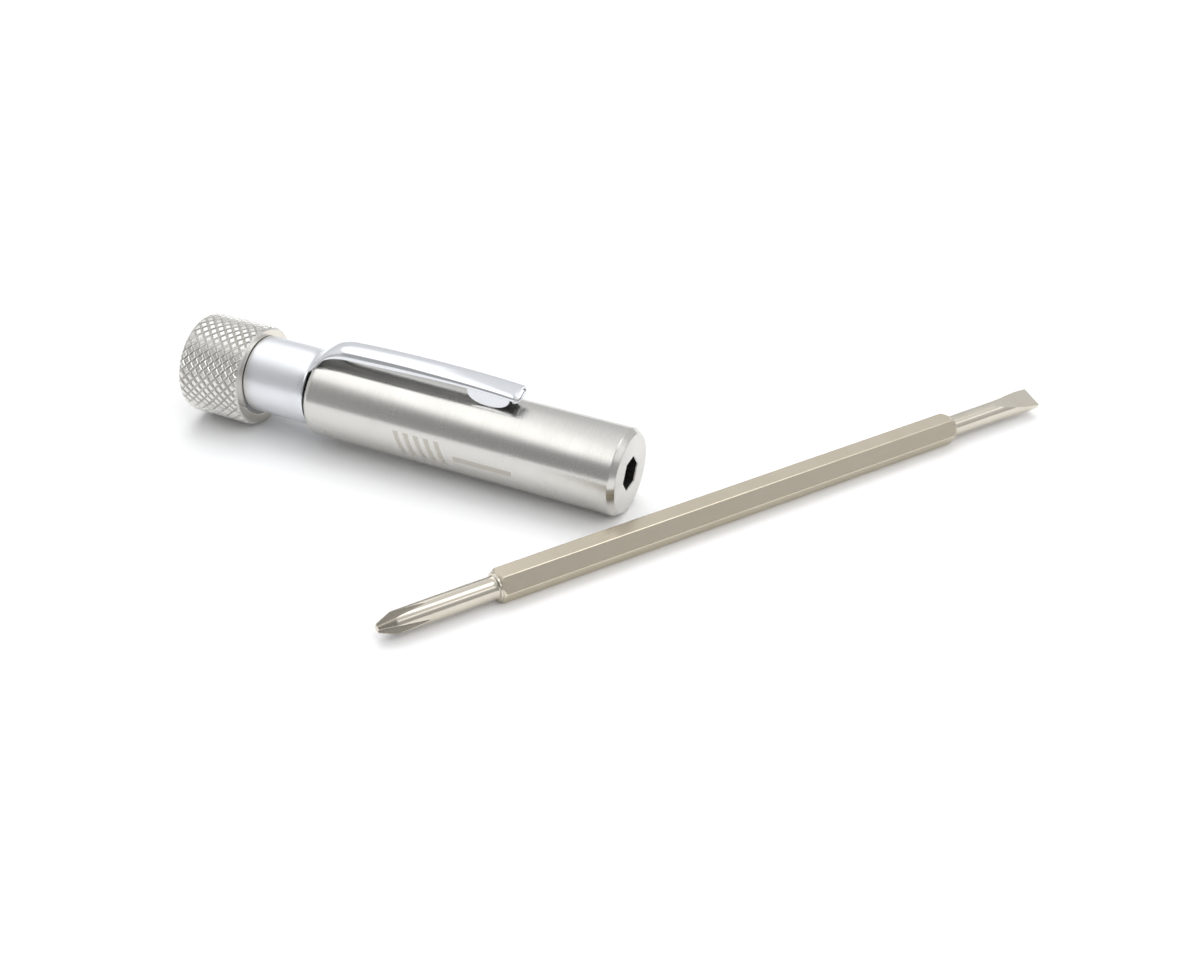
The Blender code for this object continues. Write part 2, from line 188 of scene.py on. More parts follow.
SLOT_GRIND_DEPTH = 1.25
SLOT_TURN = math.radians(18.0)
BLADE_YAW = math.radians(55.5)

# Camera
CAMERA_AIM = Vector((0.0044, -0.0007, 0.0))
CAMERA_AZIMUTH = math.radians(23.6)
CAMERA_ELEVATION = math.radians(33.26)
CAMERA_DISTANCE = 0.21885
CAMERA_ROLL = 0.0105
CAMERA_LENS = 48.0

# Studio
FLOOR_HALF_SIZE = 3.0
SKY_LOW = (0.62, 0.625, 0.635)
SKY_HIGH = (0.90, 0.905, 0.92)
SKY_FRONT = (0.40, 0.405, 0.415)
# Each sun's azimuth, elevation and spread in degrees, and its strength
SUNS = {
    "key": (75.0, 55.0, 50.0, 0.9),
    "fill": (-155.0, 62.0, 45.0, 1.0),
}
# Each card's centre, long side and facing, then length, width, strength and the share of it that fades
CARDS = {
    "strip_softbox": (
        (-0.099, -0.003, 0.17), (-0.373, 0.928, 0.0), (0.25, 0.05, -0.95),
        0.50, 0.115, 1.85, 0.5,
    ),
    "side_softbox": (
        (0.45, 0.0, 0.36), (0.0, 1.0, 0.0), (-0.85, 0.0, -0.55),
        0.5, 0.16, 1.5, 0.35,
    ),
    "dark_card": (
        (-0.17, -0.25, 0.19), (-0.5, 0.0, 0.866), (0.3, 0.95, -0.2),
        0.55, 0.15, 0.32, 0.6,
    ),
    "top_card": (
        (0.13, 0.09, 0.33), (0.0, 1.0, 0.0), (-0.35, -0.3, -0.89),
        0.24, 0.18, 3.0, 0.5,
    ),
}

ROUND_STEPS = 128
SMALL_STEPS = 96
SHARP_ANGLE = math.radians(28.0)
CAP_SHARP_ANGLE = math.radians(22.0)
BLADE_SHARP_ANGLE = math.radians(20.0)
CLIP_SHARP_ANGLE = math.radians(40.0)
CLIP_BEVEL_ANGLE = math.radians(50.0)
LIP_SHARP_ANGLE = math.radians(60.0)


# ---- frames ----------------------------------------------------------------------------------------------

def frame_of(origin, x_axis, y_axis, z_axis):
    """A placing matrix from an origin and three world axes."""
    made = Matrix((x_axis, y_axis, z_axis)).transposed().to_4x4()
    made.translation = origin
    return made


def handle_frame():
    """The handle's frame, with Z along the clip's hinge and X as near to straight up as that allows."""
    joint = next(j for j in frame["joints"] if j["name"] == "clip_swivel")
    along = Vector(joint["axis"]).normalized()
    up = (Vector((0.0, 0.0, 1.0)) - along * along.z).normalized()
    return frame_of(Vector(joint["pos_m"]), up, along.cross(up), along)


def blade_frame():
    """The blade's frame, in the middle of the hexagon above the flat that lies on the table."""
    mount = next(m for m in frame["record"]["mounts"] if m["name"] == "blade_flat")
    along = Vector((math.cos(BLADE_YAW), math.sin(BLADE_YAW), 0.0))
    up = Vector((0.0, 0.0, 1.0))
    return frame_of(Vector(mount["pos_m"]) + up * HEX_FLATS / 2 * MM, up.cross(along), up, along)


# ---- mesh helpers ----------------------------------------------------------------------------------------

def new_object(name, data):
    made = bpy.data.objects.new(name, data)
    bpy.context.scene.collection.objects.link(made)
    return made


def mesh_from(name, corners, faces):
    """A mesh from corners in millimetres, with its normals pointing out."""
    mesh = bpy.data.meshes.new(name)
    mesh.from_pydata([Vector(corner) * MM for corner in corners], [], faces)
    bm = bmesh.new()
    bm.from_mesh(mesh)
    bmesh.ops.recalc_face_normals(bm, faces=bm.faces)
    bm.to_mesh(mesh)
    bm.free()
    return mesh


def rounded(points, segments=4):
    """A profile whose points may carry a third value, the length that is rounded off on both sides."""
    line = []
    for i, point in enumerate(points):
        reach = point[2] if len(point) > 2 else 0.0
        here = Vector(point[:2])
        if not reach:
            line.append(here)
            continue
        before = Vector(points[i - 1][:2]) - here
        after = Vector(points[(i + 1) % len(points)][:2]) - here
        start = here + before.normalized() * reach
        end = here + after.normalized() * reach
        for k in range(segments + 1):
            t = k / segments
            line.append(start * (1 - t) ** 2 + here * (2 * t * (1 - t)) + end * t**2)
    return [tuple(point) for point in line]


def lathe(name, profile, steps, closed=False, shape=None):
    """Turns (radius, height) points round Z. A radius of zero makes a pole. shape may change a radius."""
    corners, rings = [], []
    for radius, height in profile:
        if radius < 1e-6:
            corners.append((0.0, 0.0, height))
            rings.append([len(corners) - 1] * steps)
            continue
        rings.append(list(range(len(corners), len(corners) + steps)))
        for k in range(steps):
            angle = 2 * math.pi * k / steps
            reach = shape(radius, height, angle) if shape else radius
            corners.append((reach * math.cos(angle), reach * math.sin(angle), height))
    pairs = list(zip(rings, rings[1:]))
    if closed:
        pairs.append((rings[-1], rings[0]))
    faces = []
    for low, high in pairs:
        for k in range(steps):
            face = [low[k], low[(k + 1) % steps], high[(k + 1) % steps], high[k]]
            face = list(dict.fromkeys(face))
            if len(face) > 2:
                faces.append(face)
    return mesh_from(name, corners, faces)


def prism_faces(count):
    """The faces of a closed prism, whose corners are its first end's and then its second end's."""
    faces = [tuple(range(count)), tuple(range(count, 2 * count))]
    for k in range(count):
        nxt = (k + 1) % count
        faces.append((k, nxt, nxt + count, k + count))
    return faces


def prism(name, outline, start, end, grow=1.0):
    """A closed prism along Z on a flat outline, which may be larger at its start."""
    corners = [(x * size, y * size, z) for z, size in ((start, grow), (end, 1.0)) for x, y in outline]
    return mesh_from(name, corners, prism_faces(len(outline)))


def apply_modifiers(obj):
    bpy.context.view_layer.update()
    graph = bpy.context.evaluated_depsgraph_get()
    done = bpy.data.meshes.new_from_object(obj.evaluated_get(graph))
    obj.modifiers.clear()
    old = obj.data
    obj.data = done
    bpy.data.meshes.remove(old)


def cut(obj, cutter_mesh, operation):
    """Applies a Boolean with a mesh that is then thrown away."""
    cutter = new_object("cutter", cutter_mesh)
    modifier = obj.modifiers.new("cut", "BOOLEAN")
    modifier.operation = operation
    modifier.solver = "EXACT"
    modifier.object = cutter
    apply_modifiers(obj)
    bpy.data.objects.remove(cutter)


def bevel(obj, width, segments, angle, material=-1):
    """Rounds the edges that are sharper than an angle."""
    modifier = obj.modifiers.new("edges", "BEVEL")
    modifier.width = width * MM
    modifier.segments = segments
    modifier.limit_method = "ANGLE"
    modifier.angle_limit = angle
    modifier.material = material
    apply_modifiers(obj)


def smooth(obj, angle=SHARP_ANGLE):
    obj.data.shade_smooth()
    obj.data.set_sharp_from_angle(angle=angle)
    modifier = obj.modifiers.new("even_normals", "WEIGHTED_NORMAL")
    modifier.keep_sharp = True


def paint(obj, finishes, pick=None):
    """Gives the materials, and to each face the one that pick chooses from its middle and its normal."""
    obj.data.materials.clear()
    for finish in finishes:
        obj.data.materials.append(finish)
    for face in obj.data.polygons:
        face.material_index = pick(face.center / MM, face.normal) if pick else 0


def place(obj, matrix, body):
    obj.matrix_world = matrix
    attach(obj, body)


# ---- materials -------------------------------------------------------------------------------------------

def node(tree, kind, inputs=None, **settings):
    """Adds a node, with values or links for its inputs by name or number."""
    made = tree.nodes.new(kind)
    for key, value in settings.items():
        setattr(made, key, value)
    for key, value in (inputs or {}).items():
        if isinstance(value, bpy.types.NodeSocket):
            tree.links.new(value, made.inputs[key])
        else:
            made.inputs[key].default_value = value
    return made


def math_node(tree, operation, *values):
    return node(tree, "ShaderNodeMath", dict(enumerate(values)), operation=operation).outputs[0]


def noise(tree, stretch, scale, detail=3.0):
    """Noise in the piece's own millimetres, stretched by a factor along each axis."""
    place_in = node(tree, "ShaderNodeTexCoord").outputs["Object"]
    mapped = node(tree, "ShaderNodeMapping", {"Vector": place_in, "Scale": [v / MM for v in stretch]})
    inputs = {"Vector": mapped.outputs[0], "Scale": scale, "Detail": detail, "Roughness": 0.55}
    return node(tree, "ShaderNodeTexNoise", inputs).outputs[0]


def spread(tree, value, low, high, start=0.3, end=0.7):
    """Maps a value between start and end to one between low and high."""
    inputs = {"Value": value, "From Min": start, "From Max": end, "To Min": low, "To Max": high}
    return node(tree, "ShaderNodeMapRange", inputs).outputs[0]


def mix_colour(tree, share, first, second):
    inputs = {0: share, 6: first, 7: second}
    return node(tree, "ShaderNodeMix", inputs, data_type="RGBA").outputs[2]


def bump(tree, height, microns, normal=None):
    inputs = {"Height": height, "Distance": microns * 1e-6, "Strength": 1.0}
    if normal:
        inputs["Normal"] = normal
    return node(tree, "ShaderNodeBump", inputs).outputs[0]


def rgba(colour):
    return (*colour, 1.0)


class Metal:
    """A metal with two close colours, an uneven roughness and a stretched grain, as sockets to build on."""

    def __init__(self, name, colour, tarnish, rough, grain, microns):
        self.material = bpy.data.materials.new(name)
        self.material.use_nodes = True
        self.tree = self.material.node_tree
        self.shader = self.tree.nodes["Principled BSDF"]
        self.shader.inputs["Metallic"].default_value = 1.0
        cloud = noise(self.tree, (1, 1, 1), 0.22, 4.0)
        fine = noise(self.tree, grain, 1.0)
        self.colour = mix_colour(self.tree, spread(self.tree, cloud, 0.0, 1.0), rgba(colour), rgba(tarnish))
        half_cloud = math_node(self.tree, "MULTIPLY", cloud, 0.5)
        half_fine = math_node(self.tree, "MULTIPLY", fine, 0.5)
        streak = math_node(self.tree, "ADD", half_cloud, half_fine)
        self.rough = spread(self.tree, streak, *rough, 0.35, 0.65)
        self.normal = bump(self.tree, fine, microns)

    def done(self):
        self.tree.links.new(self.colour, self.shader.inputs["Base Color"])
        self.tree.links.new(self.rough, self.shader.inputs["Roughness"])
        self.tree.links.new(self.normal, self.shader.inputs["Normal"])
        return self.material


def axis_place(tree):
    """Object coordinates in millimetres, and the distance from the piece's own Z axis."""
    split = node(tree, "ShaderNodeSeparateXYZ", {0: node(tree, "ShaderNodeTexCoord").outputs["Object"]})
    x, y, z = (math_node(tree, "DIVIDE", split.outputs[k], MM) for k in range(3))
    squares = math_node(tree, "ADD", math_node(tree, "MULTIPLY", x, x), math_node(tree, "MULTIPLY", y, y))
    return x, y, z, math_node(tree, "SQRT", squares)


def between(tree, value, low, high, soft=0.03):
    """One between two limits, falling to zero over a short way outside them."""
    rise = spread(tree, value, 0.0, 1.0, low - soft, low + soft)
    fall = spread(tree, value, 1.0, 0.0, high - soft, high + soft)
    return math_node(tree, "MULTIPLY", rise, fall)


def etched_mark(tree):
    """A plain row of slanted bars and a short stripe, lightly etched on the side of the barrel."""
    x, y, z, _ = axis_place(tree)
    angle = math_node(tree, "ARCTAN2", x, math_node(tree, "MULTIPLY", y, -1.0))
    height = math_node(tree, "MULTIPLY", angle, BARREL_RADIUS)
    slant = math_node(tree, "ADD", z, math_node(tree, "MULTIPLY", height, -MARK_SLANT))
    cycle = math_node(tree, "FRACT", math_node(tree, "DIVIDE", slant, MARK_CYCLE))
    bars = between(tree, cycle, *MARK_BAR_SHARE)
    bars = math_node(tree, "MULTIPLY", bars, between(tree, slant, *MARK_BARS_ALONG))
    bars = math_node(tree, "MULTIPLY", bars, between(tree, height, *MARK_BARS_HEIGHT))
    stripe = between(tree, z, *MARK_STRIPE_ALONG)
    stripe = math_node(tree, "MULTIPLY", stripe, between(tree, height, *MARK_STRIPE_HEIGHT))
    return math_node(tree, "MAXIMUM", bars, stripe)


def turned_grain(tree, per_mm, around):
    """Fine rings round the axis, broken up slowly around it, from the angle and the height."""
    x, y, z, _ = axis_place(tree)
    angle = math_node(tree, "ARCTAN2", y, x)
    place_in = node(tree, "ShaderNodeCombineXYZ", {
        0: math_node(tree, "MULTIPLY", math_node(tree, "COSINE", angle), around),
        1: math_node(tree, "MULTIPLY", math_node(tree, "SINE", angle), around),
        2: math_node(tree, "MULTIPLY", z, per_mm),
    })
    inputs = {"Vector": place_in.outputs[0], "Scale": 1.0, "Detail": 3.0, "Roughness": 0.6}
    return node(tree, "ShaderNodeTexNoise", inputs).outputs[0]


def satin_nickel():
    """Finely turned nickel whose highlights stretch round the barrel, with the etched mark."""
    colours = (0.66, 0.65, 0.62), (0.635, 0.625, 0.595)
    metal = Metal("satin_nickel", *colours, (0.22, 0.28), (6.0, 6.0, 6.0), 0.4)
    tree = metal.tree
    metal.shader.inputs["Anisotropic"].default_value = 0.7
    metal.shader.inputs["Anisotropic Rotation"].default_value = 0.25
    rings = turned_grain(tree, 9.0, 2.0)
    metal.normal = bump(tree, rings, 1.4, metal.normal)
    metal.colour = mix_colour(tree, spread(tree, rings, 0.0, 0.5), metal.colour, rgba((0.56, 0.55, 0.52)))
    mark = etched_mark(tree)
    etched = math_node(tree, "MULTIPLY", mark, 0.6)
    metal.colour = mix_colour(tree, etched, metal.colour, rgba((0.47, 0.44, 0.38)))
    metal.rough = math_node(tree, "ADD", metal.rough, math_node(tree, "MULTIPLY", mark, 0.22))
    return metal.done()


def knurled_nickel():
    """Nickel with shade painted into the grooves of the knurl as a darker colour, and a little duller there."""
    colours = (0.74, 0.73, 0.70), (0.68, 0.67, 0.64)
    metal = Metal("knurled_nickel", *colours, (0.16, 0.30), (4.0, 4.0, 4.0), 1.6)
    tree = metal.tree
    _, _, _, radius = axis_place(tree)
    depth = spread(tree, radius, 1.0, 0.0, CAP_RADIUS - KNURL_DEPTH, CAP_RADIUS - 0.6 * KNURL_DEPTH)
    # Painted shade: the colour darkens towards the bottom of the grooves, standing in for the shade that falls
    # there.
    groove_shade = math_node(tree, "MULTIPLY", depth, 0.2)
    metal.colour = mix_colour(tree, groove_shade, metal.colour, rgba((0.36, 0.35, 0.33)))
    metal.rough = math_node(tree, "ADD", metal.rough, math_node(tree, "MULTIPLY", depth, 0.12))
    return metal.done()


def polished_nickel():
    colours = (0.75, 0.715, 0.645), (0.70, 0.665, 0.595)
    return Metal("polished_nickel", *colours, (0.06, 0.13), (0.4, 0.4, 8.0), 0.5).done()


def bright_chrome():
    """Chrome that is bright on the arm and softer on the ring."""
    colours = (0.76, 0.775, 0.805), (0.73, 0.745, 0.77)
    metal = Metal("bright_chrome", *colours, (0.07, 0.13), (0.6, 0.6, 0.25), 0.8)
    metal.shader.inputs["Metallic"].default_value = 0.85
    _, _, z, _ = axis_place(metal.tree)
    ring = spread(metal.tree, z, 0.0, 0.26, ARM_LINE[3][0], RING_START + 1.5)
    metal.rough = math_node(metal.tree, "ADD", metal.rough, ring)
    return metal.done()


# The inside of the clip's channel: a duller steel whose darker colour is painted shade for the inside of the
# channel.
def dull_inside_painted_shade():
    colours = (0.50, 0.505, 0.515), (0.44, 0.445, 0.455)
    return Metal("dull_inside_painted_shade", *colours, (0.30, 0.42), (1.5, 1.5, 0.5), 1.2).done()


def champagne_steel():
    colours = (0.675, 0.61, 0.49), (0.64, 0.575, 0.455)
    return Metal("champagne_steel", *colours, (0.20, 0.27), (2.5, 2.5, 0.5), 0.25).done()


def polished_shank():
    colours = (0.68, 0.635, 0.555), (0.63, 0.585, 0.50)
    return Metal("polished_shank", *colours, (0.12, 0.19), (0.6, 0.6, 5.0), 0.4).done()


# Ground steel of the tips, its colour darkened further as painted shade for the deep flutes of the cross point.
def ground_tip_and_flute_shade():
    colours = (0.47, 0.43, 0.365), (0.41, 0.375, 0.315)
    return Metal("ground_tip_and_flute_shade", *colours, (0.18, 0.30), (4.0, 0.6, 4.0), 0.8).done()


# The inside of the bores, rough like unplated steel and painted near black as the shade deep in the holes.
def bore_painted_shade():
    colours = (0.10, 0.095, 0.09), (0.05, 0.05, 0.048)
    return Metal("bore_painted_shade", *colours, (0.45, 0.65), (0.5, 0.5, 6.0), 6.0).done()


def spring_steel():
    colours = (0.50, 0.50, 0.50), (0.40, 0.39, 0.38)
    return Metal("spring_steel", *colours, (0.28, 0.45), (1.2, 6.0, 1.2), 2.5).done()


def turned_brass():
    colours = (0.76, 0.58, 0.30), (0.60, 0.43, 0.20)
    return Metal("turned_brass", *colours, (0.22, 0.36), (9.0, 0.4, 0.4), 2.0).done()


def magnet_plating():
    colours = (0.70, 0.69, 0.67), (0.60, 0.59, 0.57)
    return Metal("magnet_plating", *colours, (0.10, 0.22), (2.0, 2.0, 2.0), 2.0).done()


def black_oxide():
    colours = (0.055, 0.055, 0.06), (0.03, 0.03, 0.034)
    return Metal("black_oxide", *colours, (0.35, 0.55), (5.0, 0.6, 5.0), 2.5).done()


# ---- barrel ----------------------------------------------------------------------------------------------

def thread_shape(radius, height, angle):
    """A right-hand V groove round the end of the neck."""
    if abs(radius - NECK_RADIUS) > 0.01 or not THREAD_START <= height <= THREAD_END:
        return radius
    turn = height / THREAD_PITCH - angle / (2 * math.pi)
    wave = abs((turn % 1.0) - 0.5) * 2.0
    run_in = min(1.0, (height - THREAD_START) / THREAD_PITCH, (THREAD_END - height) / THREAD_PITCH)
    return radius - THREAD_DEPTH * min(1.0, THREAD_ROOT_FLAT * wave) * run_in


def barrel_profile():
    steps = round((THREAD_END - THREAD_START) / THREAD_STEP)
    thread = [(NECK_RADIUS, THREAD_END - k * THREAD_STEP) for k in range(steps + 1)]
    return rounded([
        (0.0, BORE_START),
        (BORE_RADIUS, BORE_START),
        (BORE_RADIUS, POCKET_START),
        (POCKET_RADIUS, POCKET_START),
        (POCKET_RADIUS, NECK_END),
        (NECK_RADIUS - NECK_CHAMFER, NECK_END),
        (NECK_RADIUS, NECK_END - NECK_CHAMFER),
        *thread,
        (NECK_RADIUS, BARREL_LENGTH),
        (BARREL_RADIUS, BARREL_LENGTH, REAR_ROUND),
        (BARREL_RADIUS, NOSE_BEVEL_LENGTH, EDGE_BREAK),
        (BARREL_RADIUS - NOSE_BEVEL_DEPTH, 0.0, EDGE_BREAK),
        (0.0, 0.0),
    ], 8)


def socket_outline():
    """The hexagon of the socket with a slightly ragged edge, as a broach leaves it."""
    radius = SOCKET_FLATS / math.sqrt(3.0)
    corners = []
    for k in range(6):
        angle = math.radians(90.0) - SOCKET_PHASE + k * math.pi / 3
        corners.append(Vector((radius * math.cos(angle), radius * math.sin(angle))))
    points = []
    for k, corner in enumerate(corners):
        for i in range(BURR_STEPS):
            t = i / BURR_STEPS
            ragged = BURR * math.sin(9.1 * (k * BURR_STEPS + i)) * math.sin(math.pi * t)
            point = corner.lerp(corners[(k + 1) % 6], t)
            points.append(tuple(point * (1.0 + ragged / point.length)))
    return points


def make_barrel(matrix):
    body = lathe("barrel_body", barrel_profile(), ROUND_STEPS, shape=thread_shape)
    barrel = new_object("barrel_body", body)
    cut(barrel, prism("socket", socket_outline(), -2.0, SOCKET_DEPTH), "DIFFERENCE")
    edge = prism("socket_edge", socket_outline(), -SOCKET_EDGE_DEPTH, SOCKET_EDGE_DEPTH, SOCKET_EDGE_GROW)
    cut(barrel, edge, "DIFFERENCE")

    def pick(centre, normal):
        inside = math.hypot(centre.x, centre.y) < BORE_RADIUS + 0.05
        # Faces deep in the socket and the bore take the near-black painted shade.
        return 1 if inside and centre.z > SOCKET_EDGE_DEPTH else 0

    paint(barrel, [satin_nickel(), bore_painted_shade()], pick)
    smooth(barrel)
    place(barrel, matrix, "handle")
    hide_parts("barrel")


# ---- cap -------------------------------------------------------------------------------------------------

def round_point(angle, height, radius):
    return (radius * math.cos(angle), radius * math.sin(angle), height)


def add_diamond(corners, faces, around, angle, height):
    """Raises a diamond on four crossings of the grooves: its slopes, its broken edges and its flat top."""
    half_angle = math.pi / KNURL_AROUND
    half_height = KNURL_PITCH / 2
    offsets = ((-half_angle, 0.0), (0.0, -half_height), (half_angle, 0.0), (0.0, half_height))
    ring = around
    for share, radius in ((KNURL_SHOULDER, CAP_RADIUS - KNURL_SHOULDER_DROP), (KNURL_TOP, CAP_RADIUS)):
        inner = []
        for turn, rise in offsets:
            inner.append(len(corners))
            corners.append(round_point(angle + share * turn, height + share * rise, radius))
        for k in range(4):
            faces.append((ring[k], ring[(k + 1) % 4], inner[(k + 1) % 4], inner[k]))
        ring = inner
    faces.append(tuple(ring))


def knurled_bar(start, end):
    """A solid bar with raised diamonds between two crossing families of grooves, longer than the cap."""
    step = 2 * math.pi / KNURL_AROUND
    row_height = KNURL_PITCH / 2
    rows = math.ceil((end - start) / row_height) + 1
    corners = []
    faces = []

    def crossing(row, column):
        return row * KNURL_AROUND + column % KNURL_AROUND

    for row in range(rows + 1):
        for column in range(KNURL_AROUND):
            angle = (column + 0.5 * (row % 2)) * step
            corners.append(round_point(angle, start + row * row_height, CAP_RADIUS - KNURL_DEPTH))
    for row in range(1, rows):
        shift = row % 2
        for column in range(KNURL_AROUND):
            around = [
                crossing(row, column),
                crossing(row - 1, column + shift),
                crossing(row, column + 1),
                crossing(row + 1, column + shift),
            ]
            angle = (column + 0.5 * shift + 0.5) * step
            add_diamond(corners, faces, around, angle, start + row * row_height)
    for row, toward in ((0, 1), (rows, -1)):
        middle = len(corners)
        corners.append((0.0, 0.0, start + row * row_height))
        for column in range(KNURL_AROUND):
            here = crossing(row, column)
            nxt = crossing(row, column + 1)
            faces.append((here, nxt, crossing(row + toward, column + row % 2)))
            faces.append((here, nxt, middle))
    return mesh_from("knurled_bar", corners, faces)


def cap_profile():
    """The outside just clears the tops of the knurl, so that only the ends are cut."""
    outside = CAP_RADIUS + CAP_OUTSIDE_MARGIN
    return rounded([
        (0.0, CAP_END),
        (outside, CAP_END, CAP_REAR_ROUND),
        (outside, CAP_START + CAP_FRONT_BEVEL + CAP_OUTSIDE_MARGIN),
        (CAP_RADIUS - CAP_FRONT_BEVEL, CAP_START, 0.05),
        (CAP_RECESS_RADIUS, CAP_START, 0.08),
        (CAP_RECESS_RADIUS, CAP_START + CAP_RECESS_DEPTH),
        (CAP_BORE_RADIUS, CAP_START + CAP_RECESS_DEPTH),
        (CAP_BORE_RADIUS, CAP_END - CAP_FLOOR),
        (0.0, CAP_END - CAP_FLOOR),
    ], 6)


def make_cap(matrix):
    spare = 1.5 * KNURL_PITCH
    cap = new_object("cap_body", knurled_bar(CAP_START - spare, CAP_END + spare))
    cut(cap, lathe("cap_outline", cap_profile(), ROUND_STEPS), "INTERSECT")

    def pick(centre, normal):
        radius = math.hypot(centre.x, centre.y)
        if centre.z < CAP_START + CAP_RECESS_DEPTH + 0.1 and radius < CAP_RADIUS - CAP_FRONT_BEVEL:
            return 1
        # The cap's bore takes the near-black painted shade.
        return 2 if radius < CAP_BORE_RADIUS + 0.1 and centre.z < CAP_END - 0.1 else 0

    paint(cap, [knurled_nickel(), polished_nickel(), bore_painted_shade()], pick)
    smooth(cap, CAP_SHARP_ANGLE)
    place(cap, matrix, "cap")
    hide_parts("knurled_cap")


def make_washer(matrix):
    end = CAP_START + WASHER_THICKNESS
    profile = rounded([
        (WASHER_OUTER, end, 0.08),
        (WASHER_OUTER, CAP_START, 0.08),
        (WASHER_INNER, CAP_START, 0.05),
        (WASHER_INNER, end, 0.05),
    ])
    washer = new_object("washer_body", lathe("washer_body", profile, SMALL_STEPS, closed=True))
    paint(washer, [spring_steel()])
    smooth(washer)
    place(washer, matrix, "washer")
    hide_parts("clip_washer")


# ---- clip ------------------------------------------------------------------------------------------------

def curve_through(rows, position):
    """Values at a position along rows whose first value falls, on a Catmull-Rom curve."""
    last = len(rows) - 1
    k = next((k for k in range(last) if rows[k][0] >= position >= rows[k + 1][0]), last - 1)
    before, here, there, after = (rows[max(0, min(last, k + i))] for i in (-1, 0, 1, 2))
    width = there[0] - here[0]
    t = (position - here[0]) / width
    values = []
    for b, h, e, a in zip(before[1:], here[1:], there[1:], after[1:]):
        start = (e - b) * width / (there[0] - before[0])
        end = (a - h) * width / (after[0] - here[0]) if after is not there else e - h
        values.append(
            h * (2 * t**3 - 3 * t**2 + 1) + start * (t**3 - 2 * t**2 + t)
            + e * (3 * t**2 - 2 * t**3) + end * (t**3 - t**2)
        )
    return values


def arm_point(position, share):
    """A point of the arm's outer face; share runs across it from -1 to 1.

    The section goes from a shallow round arch, at the ring, to a full squarish one along the arm.
    """
    crown, edge, half_width, arch = curve_through(ARM_LINE, position)
    low_angle = FLAT_ARCH_ANGLE * share
    low_height = crown - (crown - edge) * (1 - math.cos(low_angle)) / (1 - math.cos(FLAT_ARCH_ANGLE))
    low_across = half_width * math.sin(low_angle) / math.sin(FLAT_ARCH_ANGLE)
    angle = share * math.pi / 2
    power = 2.0 / ARCH_POWER
    high_height = edge + (crown - edge) * abs(math.cos(angle)) ** power
    high_across = half_width * math.copysign(abs(math.sin(angle)) ** power, share)
    blend = max(0.0, min(1.0, arch))
    height = low_height * (1 - blend) + high_height * blend
    across = low_across * (1 - blend) + high_across * blend
    return (height, across, position)


def ring_point(column, height):
    """A point of the ring, which swells a little where the arm leaves it."""
    half = ARM_COLUMNS // 2
    angle = (column - half) * 2 * math.pi / RING_COLUMNS
    lift = RING_LIFT
    if column <= ARM_COLUMNS and height < BULGE_START:
        bulge = BULGE_HEIGHT * ((BULGE_START - height) / (BULGE_START - RING_START)) ** 2
        lift += bulge * math.cos(math.pi / 2 * (column - half) / half) ** 2
    return (lift + RING_RADIUS * math.cos(angle), RING_RADIUS * math.sin(angle), height)


def clip_mesh():
    """The ring and the arm as one sheet: the arm's columns go on from the front edge of the ring."""
    half = ARM_COLUMNS // 2
    corners = [ring_point(column, height) for height in RING_ROWS for column in range(RING_COLUMNS)]
    faces = []
    for row in range(len(RING_ROWS) - 1):
        for column in range(RING_COLUMNS):
            a = row * RING_COLUMNS + column
            b = row * RING_COLUMNS + (column + 1) % RING_COLUMNS
            faces.append((a, b, b + RING_COLUMNS, a + RING_COLUMNS))
    above = [(len(RING_ROWS) - 1) * RING_COLUMNS + column for column in range(ARM_COLUMNS + 1)]
    for row in range(1, ARM_ROWS + 1):
        t = row / ARM_ROWS
        share = (1.0 - ARM_ROWS_AT_BEND) * t + ARM_ROWS_AT_BEND * t**2
        position = RING_START + (ARM_LINE[-1][0] - RING_START) * share
        here = []
        for column in range(ARM_COLUMNS + 1):
            here.append(len(corners))
            corners.append(arm_point(position, (column - half) / half))
        for column in range(ARM_COLUMNS):
            faces.append((above[column], above[column + 1], here[column + 1], here[column]))
        above = here
    return mesh_from("clip_sheet", corners, faces)


def ear_mesh(side):
    """A half-round tab that hangs from one edge of the arm and rests on the barrel."""
    drop = EAR_TOP - EAR_FOOT - EAR_STRAIGHT
    half = EAR_LENGTH / 2
    outline = [(EAR_TOP, -half)]
    for k in range(EAR_STEPS + 1):
        angle = math.pi * k / EAR_STEPS
        height = EAR_TOP - EAR_STRAIGHT - drop * math.sin(angle) ** EAR_FULLNESS
        outline.append((height, -half * math.cos(angle)))
    outline.append((EAR_TOP, half))
    half_width = curve_through(ARM_LINE, EAR_MIDDLE)[2]
    outer = side * (half_width - EAR_INSET)
    inner = outer - side * EAR_THICKNESS
    corners = [(height, across, EAR_MIDDLE + along) for across in (outer, inner) for height, along in outline]
    return mesh_from("ear", corners, prism_faces(len(outline)))


